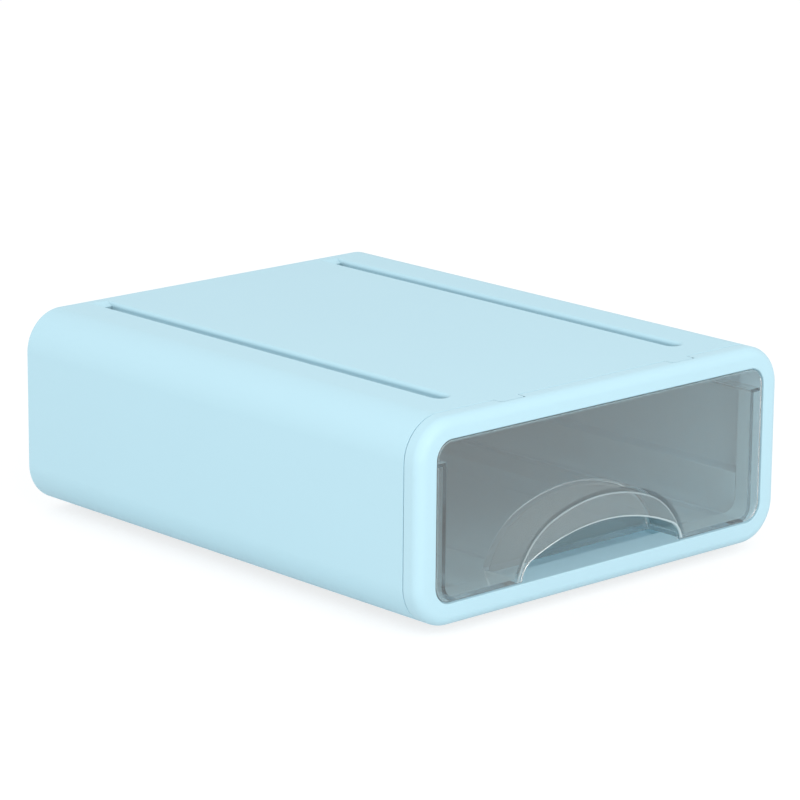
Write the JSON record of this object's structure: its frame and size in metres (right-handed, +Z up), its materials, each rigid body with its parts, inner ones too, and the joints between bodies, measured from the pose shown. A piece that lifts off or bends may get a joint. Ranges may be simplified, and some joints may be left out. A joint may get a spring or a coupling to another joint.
{
  "type": "stackable drawer box",
  "caption": "Low stackable box with rounded corners and one smoky clear drawer that slides out by an arched finger recess, grooves in the top and ribs with rubber feet below.",
  "frame": {"origin": "middle of the footprint, on the surface that the feet stand on", "axes": "+X to the right seen from the front, +Y from the drawer's front towards the back, +Z up"},
  "size_m": [0.25, 0.3, 0.1078],
  "materials": {
    "shell_plastic": "satin, fine mould texture, light blue",
    "frame_plastic": "satin, fine mould texture, light blue",
    "smoky_clear": "polished clear plastic with a smoke grey tint",
    "foot_rubber": "matt"
  },
  "bodies": {
    "housing": {"shell": "shell_plastic", "front_frame": "frame_plastic", "foot_front_left": "foot_rubber", "foot_front_right": "foot_rubber", "foot_back_left": "foot_rubber", "foot_back_right": "foot_rubber"},
    "drawer": {"drawer": "smoky_clear"}
  },
  "joints": [
    {"name": "drawer_slide", "type": "slide", "parent": "housing", "child": "drawer", "axis": [0, -1, 0], "range_m": [0, 0.24]}
  ]
}
